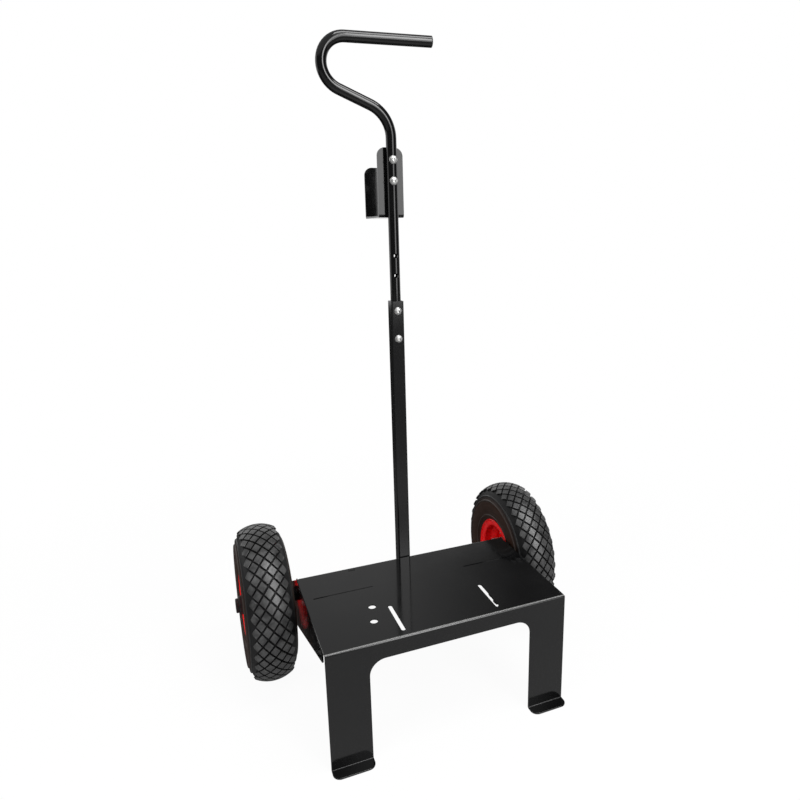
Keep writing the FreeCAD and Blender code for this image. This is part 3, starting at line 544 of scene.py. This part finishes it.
# Tubes and valves
# A butyl inner tube in each tyre, with a turned brass valve vulcanised on.
# The valve comes out through the slope of the outer rim half and has a black moulded cap screwed on.
def turned_brass():
    """Turned brass: a yellow metal, a little dulled by handling."""
    material, tree = new_material("turned_valve_brass")
    place = add(tree, "ShaderNodeTexCoord").outputs["Object"]
    tarnish = add(tree, "ShaderNodeTexNoise", {"Vector": place, "Scale": per_metre(4), "Detail": 3.0})
    colour = add(tree, "ShaderNodeMix", {SHARE: tarnish.outputs["Fac"], COLOUR_A: linear("#9c7a35"),
                                         COLOUR_B: linear("#d3b063")}, data_type="RGBA")
    dulling = add(tree, "ShaderNodeMapRange", {"Value": tarnish.outputs["Fac"], "From Min": NOISE_LOW,
                                               "From Max": NOISE_HIGH, "To Min": 0.2, "To Max": 0.4})
    metal = add(tree, "ShaderNodeBsdfPrincipled", {
        "Base Color": colour.outputs[MIXED_COLOUR], "Metallic": 1.0, "Roughness": dulling.outputs["Result"]})
    add(tree, "ShaderNodeOutputMaterial", {"Surface": metal.outputs["BSDF"]})
    return material


def black_polyethylene():
    """Injection moulded polyethylene: waxy black with a spark-eroded grain of half a millimetre."""
    material, tree = new_material("moulded_black_polyethylene")
    place = add(tree, "ShaderNodeTexCoord").outputs["Object"]
    wax = add(tree, "ShaderNodeTexNoise", {"Vector": place, "Scale": per_metre(12), "Detail": 3.0})
    grain = add(tree, "ShaderNodeTexNoise", {"Vector": place, "Scale": per_metre(0.5), "Detail": 1.0})
    colour = add(tree, "ShaderNodeMix", {SHARE: wax.outputs["Fac"], COLOUR_A: linear("#0f0f10"),
                                         COLOUR_B: linear("#1b1b1c")}, data_type="RGBA")
    dulling = add(tree, "ShaderNodeMapRange", {"Value": wax.outputs["Fac"], "From Min": NOISE_LOW,
                                               "From Max": NOISE_HIGH, "To Min": 0.34, "To Max": 0.5})
    skin = add(tree, "ShaderNodeBump", {"Height": grain.outputs["Fac"], "Strength": 0.12,
                                        "Distance": 0.1 * mm})
    surface = add(tree, "ShaderNodeBsdfPrincipled", {
        "Base Color": colour.outputs[MIXED_COLOUR], "Roughness": dulling.outputs["Result"],
        "Normal": skin.outputs["Normal"]})
    add(tree, "ShaderNodeOutputMaterial", {"Surface": surface.outputs["BSDF"]})
    return material


brass = turned_brass()
plastic = black_polyethylene()
for side in SIDES:
    finish_nodes(rubber, f"{side}_inner_tube")
    finish_nodes(brass, f"{side}_valve_stem")
    finish_nodes(plastic, f"{side}_valve_cap")


# Axle caps
# Moulded black polyethylene caps in two steps, one at each end of the axle.
# They are pressed over the axle's ends and cover the push nuts.
for side in SIDES:
    finish_nodes(plastic, f"{side}_axle_cap")


# Mast and handle
# A 20 mm square steel tube bolted to the rear flange, and a 16 mm round one, bent to a crook, slid into it.
# Both are powder coated; a plastic plug closes the open end of the bar.
finish_nodes(powder_coat, "mast", "handle_tube")
finish_nodes(plastic, "handle_end_plug")
finish_nodes(zinc, "mast_base_bolts", "mast_base_washers", "mast_base_nuts")


# Hook bracket
# A strip of steel sheet, bent to a J and powder coated.
# Two screws through the handle tube hold it against the tube's back.
finish_nodes(powder_coat, "hook_bracket")


# Screws
# Bright zinc plated socket screws with domed heads, and nuts behind.
# Two go right through the mast with the handle tube in it, and two through the handle tube and the bracket.
finish_nodes(zinc, "mast_screws", "mast_nuts", "bracket_screws", "bracket_nuts")


# Studio
# A pale floor that fades into white, in a room that is white behind the trolley and dim in front of it.
# A tall strip lamp with a brighter core draws light along the tubes; two more light the top and the left.

# A Mix node's sockets for plain numbers: the two tones and the mixed one.
TONE_A, TONE_B, MIXED_TONE = 2, 3, 0


def seen_rays(tree):
    """One for a ray from the camera, and one for a ray off a glossy surface or through a clear one."""
    path = add(tree, "ShaderNodeLightPath").outputs
    mirrored = add(tree, "ShaderNodeMath", {0: path["Is Glossy Ray"], 1: path["Is Transmission Ray"]},
                   operation="MAXIMUM")
    return path["Is Camera Ray"], mirrored.outputs[0]


def pale_floor():
    """Matt white board: paper white to the eye with a faint shadow kept near the trolley.

    In reflections it is duller further away, and in shade behind the trolley.
    """
    shadow_near, shadow_far, white_near = 0.5, 1.3, 0.95
    dull_near, dull_far, near_tone, far_tone = 0.6, 1.4, 0.5, 0.28
    shade_full, shade_end, shade_tone = 0.1, -0.15, 0.12
    material, tree = new_material("matt_white_board")
    place = add(tree, "ShaderNodeTexCoord").outputs["Object"]
    fleck = add(tree, "ShaderNodeTexNoise", {"Vector": place, "Scale": per_metre(40), "Detail": 3.0})
    colour = add(tree, "ShaderNodeMix", {SHARE: fleck.outputs["Fac"], COLOUR_A: linear("#f1f1f1"),
                                         COLOUR_B: linear("#f3f3f3")}, data_type="RGBA")
    board = add(tree, "ShaderNodeBsdfDiffuse", {"Color": colour.outputs[MIXED_COLOUR]})
    away = add(tree, "ShaderNodeVectorMath", {0: place}, operation="LENGTH").outputs["Value"]
    camera_ray, mirrored = seen_rays(tree)
    seen = add(tree, "ShaderNodeMath", {0: camera_ray, 1: mirrored}, operation="MAXIMUM")
    fade = add(tree, "ShaderNodeMapRange", {"Value": away, "From Min": shadow_near, "From Max": shadow_far,
                                            "To Min": white_near, "To Max": 1.0},
               interpolation_type="SMOOTHSTEP")
    white = add(tree, "ShaderNodeMath", {0: seen.outputs[0], 1: fade.outputs["Result"]}, operation="MULTIPLY")
    duller = add(tree, "ShaderNodeMapRange", {"Value": away, "From Min": dull_near, "From Max": dull_far,
                                              "To Min": near_tone, "To Max": far_tone},
                 interpolation_type="SMOOTHSTEP")
    along = add(tree, "ShaderNodeSeparateXYZ", {"Vector": place}).outputs
    shaded = add(tree, "ShaderNodeMapRange", {"Value": along["Y"], "From Min": shade_full,
                                              "From Max": shade_end, "To Min": shade_tone, "To Max": 1.0})
    dull = add(tree, "ShaderNodeMath", {0: duller.outputs["Result"], 1: shaded.outputs["Result"]},
               operation="MULTIPLY")
    tone = add(tree, "ShaderNodeMix", {SHARE: mirrored, TONE_A: 1.0, TONE_B: dull.outputs[0]})
    glow = add(tree, "ShaderNodeEmission", {"Color": linear("#ffffff"), "Strength": tone.outputs[MIXED_TONE]})
    both = add(tree, "ShaderNodeMixShader", {0: white.outputs[0], 1: board.outputs["BSDF"],
                                             2: glow.outputs["Emission"]})
    add(tree, "ShaderNodeOutputMaterial", {"Surface": both.outputs["Shader"]})
    return material


def surround():
    """White to the eye, and an even light on the trolley.

    Reflections show a white wall behind, a dim room with a faint window in front, and a ceiling that
    darkens to the right.
    """
    light_on_trolley = 0.4
    window_middle, window_core, window_end, window_tone, room_tone = 0.33, 0.2, 0.4, 0.3, 0.05
    wall_start, wall_full = 0.05, 0.35
    ceiling_left, ceiling_right, left_tone, right_tone = 0.24, 0.42, 0.44, 0.06
    ceiling_start, ceiling_full = 0.36, 0.46
    world = bpy.data.worlds.new("studio_surround")
    bpy.context.scene.world = world
    world.use_nodes = True
    tree = world.node_tree
    tree.nodes.clear()
    towards = add(tree, "ShaderNodeTexCoord").outputs["Generated"]
    along = add(tree, "ShaderNodeSeparateXYZ", {"Vector": towards}).outputs
    aside = add(tree, "ShaderNodeMath", {0: along["X"], 1: window_middle}, operation="SUBTRACT")
    off_window = add(tree, "ShaderNodeMath", {0: aside.outputs[0]}, operation="ABSOLUTE")
    window = add(tree, "ShaderNodeMapRange", {"Value": off_window.outputs[0], "From Min": window_core,
                                              "From Max": window_end, "To Min": window_tone,
                                              "To Max": room_tone},
                 interpolation_type="SMOOTHSTEP")
    behind = add(tree, "ShaderNodeMapRange", {"Value": along["Y"], "From Min": wall_start,
                                              "From Max": wall_full},
                 interpolation_type="SMOOTHSTEP")
    wall = add(tree, "ShaderNodeMix", {SHARE: behind.outputs["Result"], TONE_A: window.outputs["Result"],
                                       TONE_B: 1.0})
    ceiling = add(tree, "ShaderNodeMapRange", {"Value": along["X"], "From Min": ceiling_left,
                                               "From Max": ceiling_right, "To Min": left_tone,
                                               "To Max": right_tone})
    above = add(tree, "ShaderNodeMapRange", {"Value": along["Z"], "From Min": ceiling_start,
                                             "From Max": ceiling_full}, interpolation_type="SMOOTHSTEP")
    room = add(tree, "ShaderNodeMix", {SHARE: above.outputs["Result"], TONE_A: wall.outputs[MIXED_TONE],
                                       TONE_B: ceiling.outputs["Result"]})
    camera_ray, mirrored = seen_rays(tree)
    lit = add(tree, "ShaderNodeMix", {SHARE: mirrored, TONE_A: light_on_trolley,
                                      TONE_B: room.outputs[MIXED_TONE]})
    seen = add(tree, "ShaderNodeMix", {SHARE: camera_ray, TONE_A: lit.outputs[MIXED_TONE], TONE_B: 1.0})
    air = add(tree, "ShaderNodeBackground", {"Color": linear("#ffffff"),
                                             "Strength": seen.outputs[MIXED_TONE]})
    add(tree, "ShaderNodeOutputWorld", {"Surface": air.outputs["Background"]})


def softbox(name, place, target, width, height, power):
    """A rectangular lamp aimed at a point."""
    lamp = bpy.data.lights.new(name, "AREA")
    lamp.shape = "RECTANGLE"
    lamp.size = width
    lamp.size_y = height
    lamp.energy = power
    holder = bpy.data.objects.new(name, lamp)
    holder.location = place
    holder.rotation_euler = (Vector(target) - Vector(place)).to_track_quat("-Z", "Y").to_euler()
    bpy.context.collection.objects.link(holder)
    return holder


floor_side = 12
select_none()
bpy.ops.mesh.primitive_plane_add(size=floor_side)
floor = bpy.context.object
floor.name = "floor"
floor.data.materials.append(pale_floor())
surround()
softbox("tall_front_strip", (0.75, -2.1, 1.55), (0, 0, 1.3), width=1.0, height=2.3, power=24)
softbox("strip_core", (0.75, -2.08, 2.05), (0, 0, 1.7), width=0.5, height=1.5, power=16)
softbox("overhead_softbox", (0.65, -0.7, 2.7), (0.65, -0.45, 0.4), width=1.8, height=0.9, power=34)
left_fill = softbox("left_fill", (-1.7, -0.9, 1.3), (0.1, 0, 0.15), width=1.2, height=1.2, power=20)
left_fill.visible_glossy = False


# Camera
# A little left of the middle and above the deck, looking right and down along the trolley.
# Its lens and shift are those of a square picture of 800 pixels.
eye = Vector((-0.31218, -0.92846, 0.71295))
turn_right = math.radians(22.914)
look_down = math.radians(13.932)
roll = math.radians(-0.427)
picture_side = 800
focal_pixels = 640.24
axis_pixel = (452.91, 396.81)
lens = bpy.data.cameras.new("camera")
lens.sensor_width = 36
lens.lens = lens.sensor_width * focal_pixels / picture_side
lens.shift_x = (picture_side / 2 - axis_pixel[0]) / picture_side
lens.shift_y = (axis_pixel[1] - picture_side / 2) / picture_side
camera = bpy.data.objects.new("camera", lens)
camera.matrix_world = (Matrix.Translation(eye) @ Matrix.Rotation(-turn_right, 4, "Z")
                       @ Matrix.Rotation(math.pi / 2 - look_down, 4, "X") @ Matrix.Rotation(roll, 4, "Z"))
bpy.context.collection.objects.link(camera)
bpy.context.scene.camera = camera
bpy.context.scene.view_settings.view_transform = "Standard"
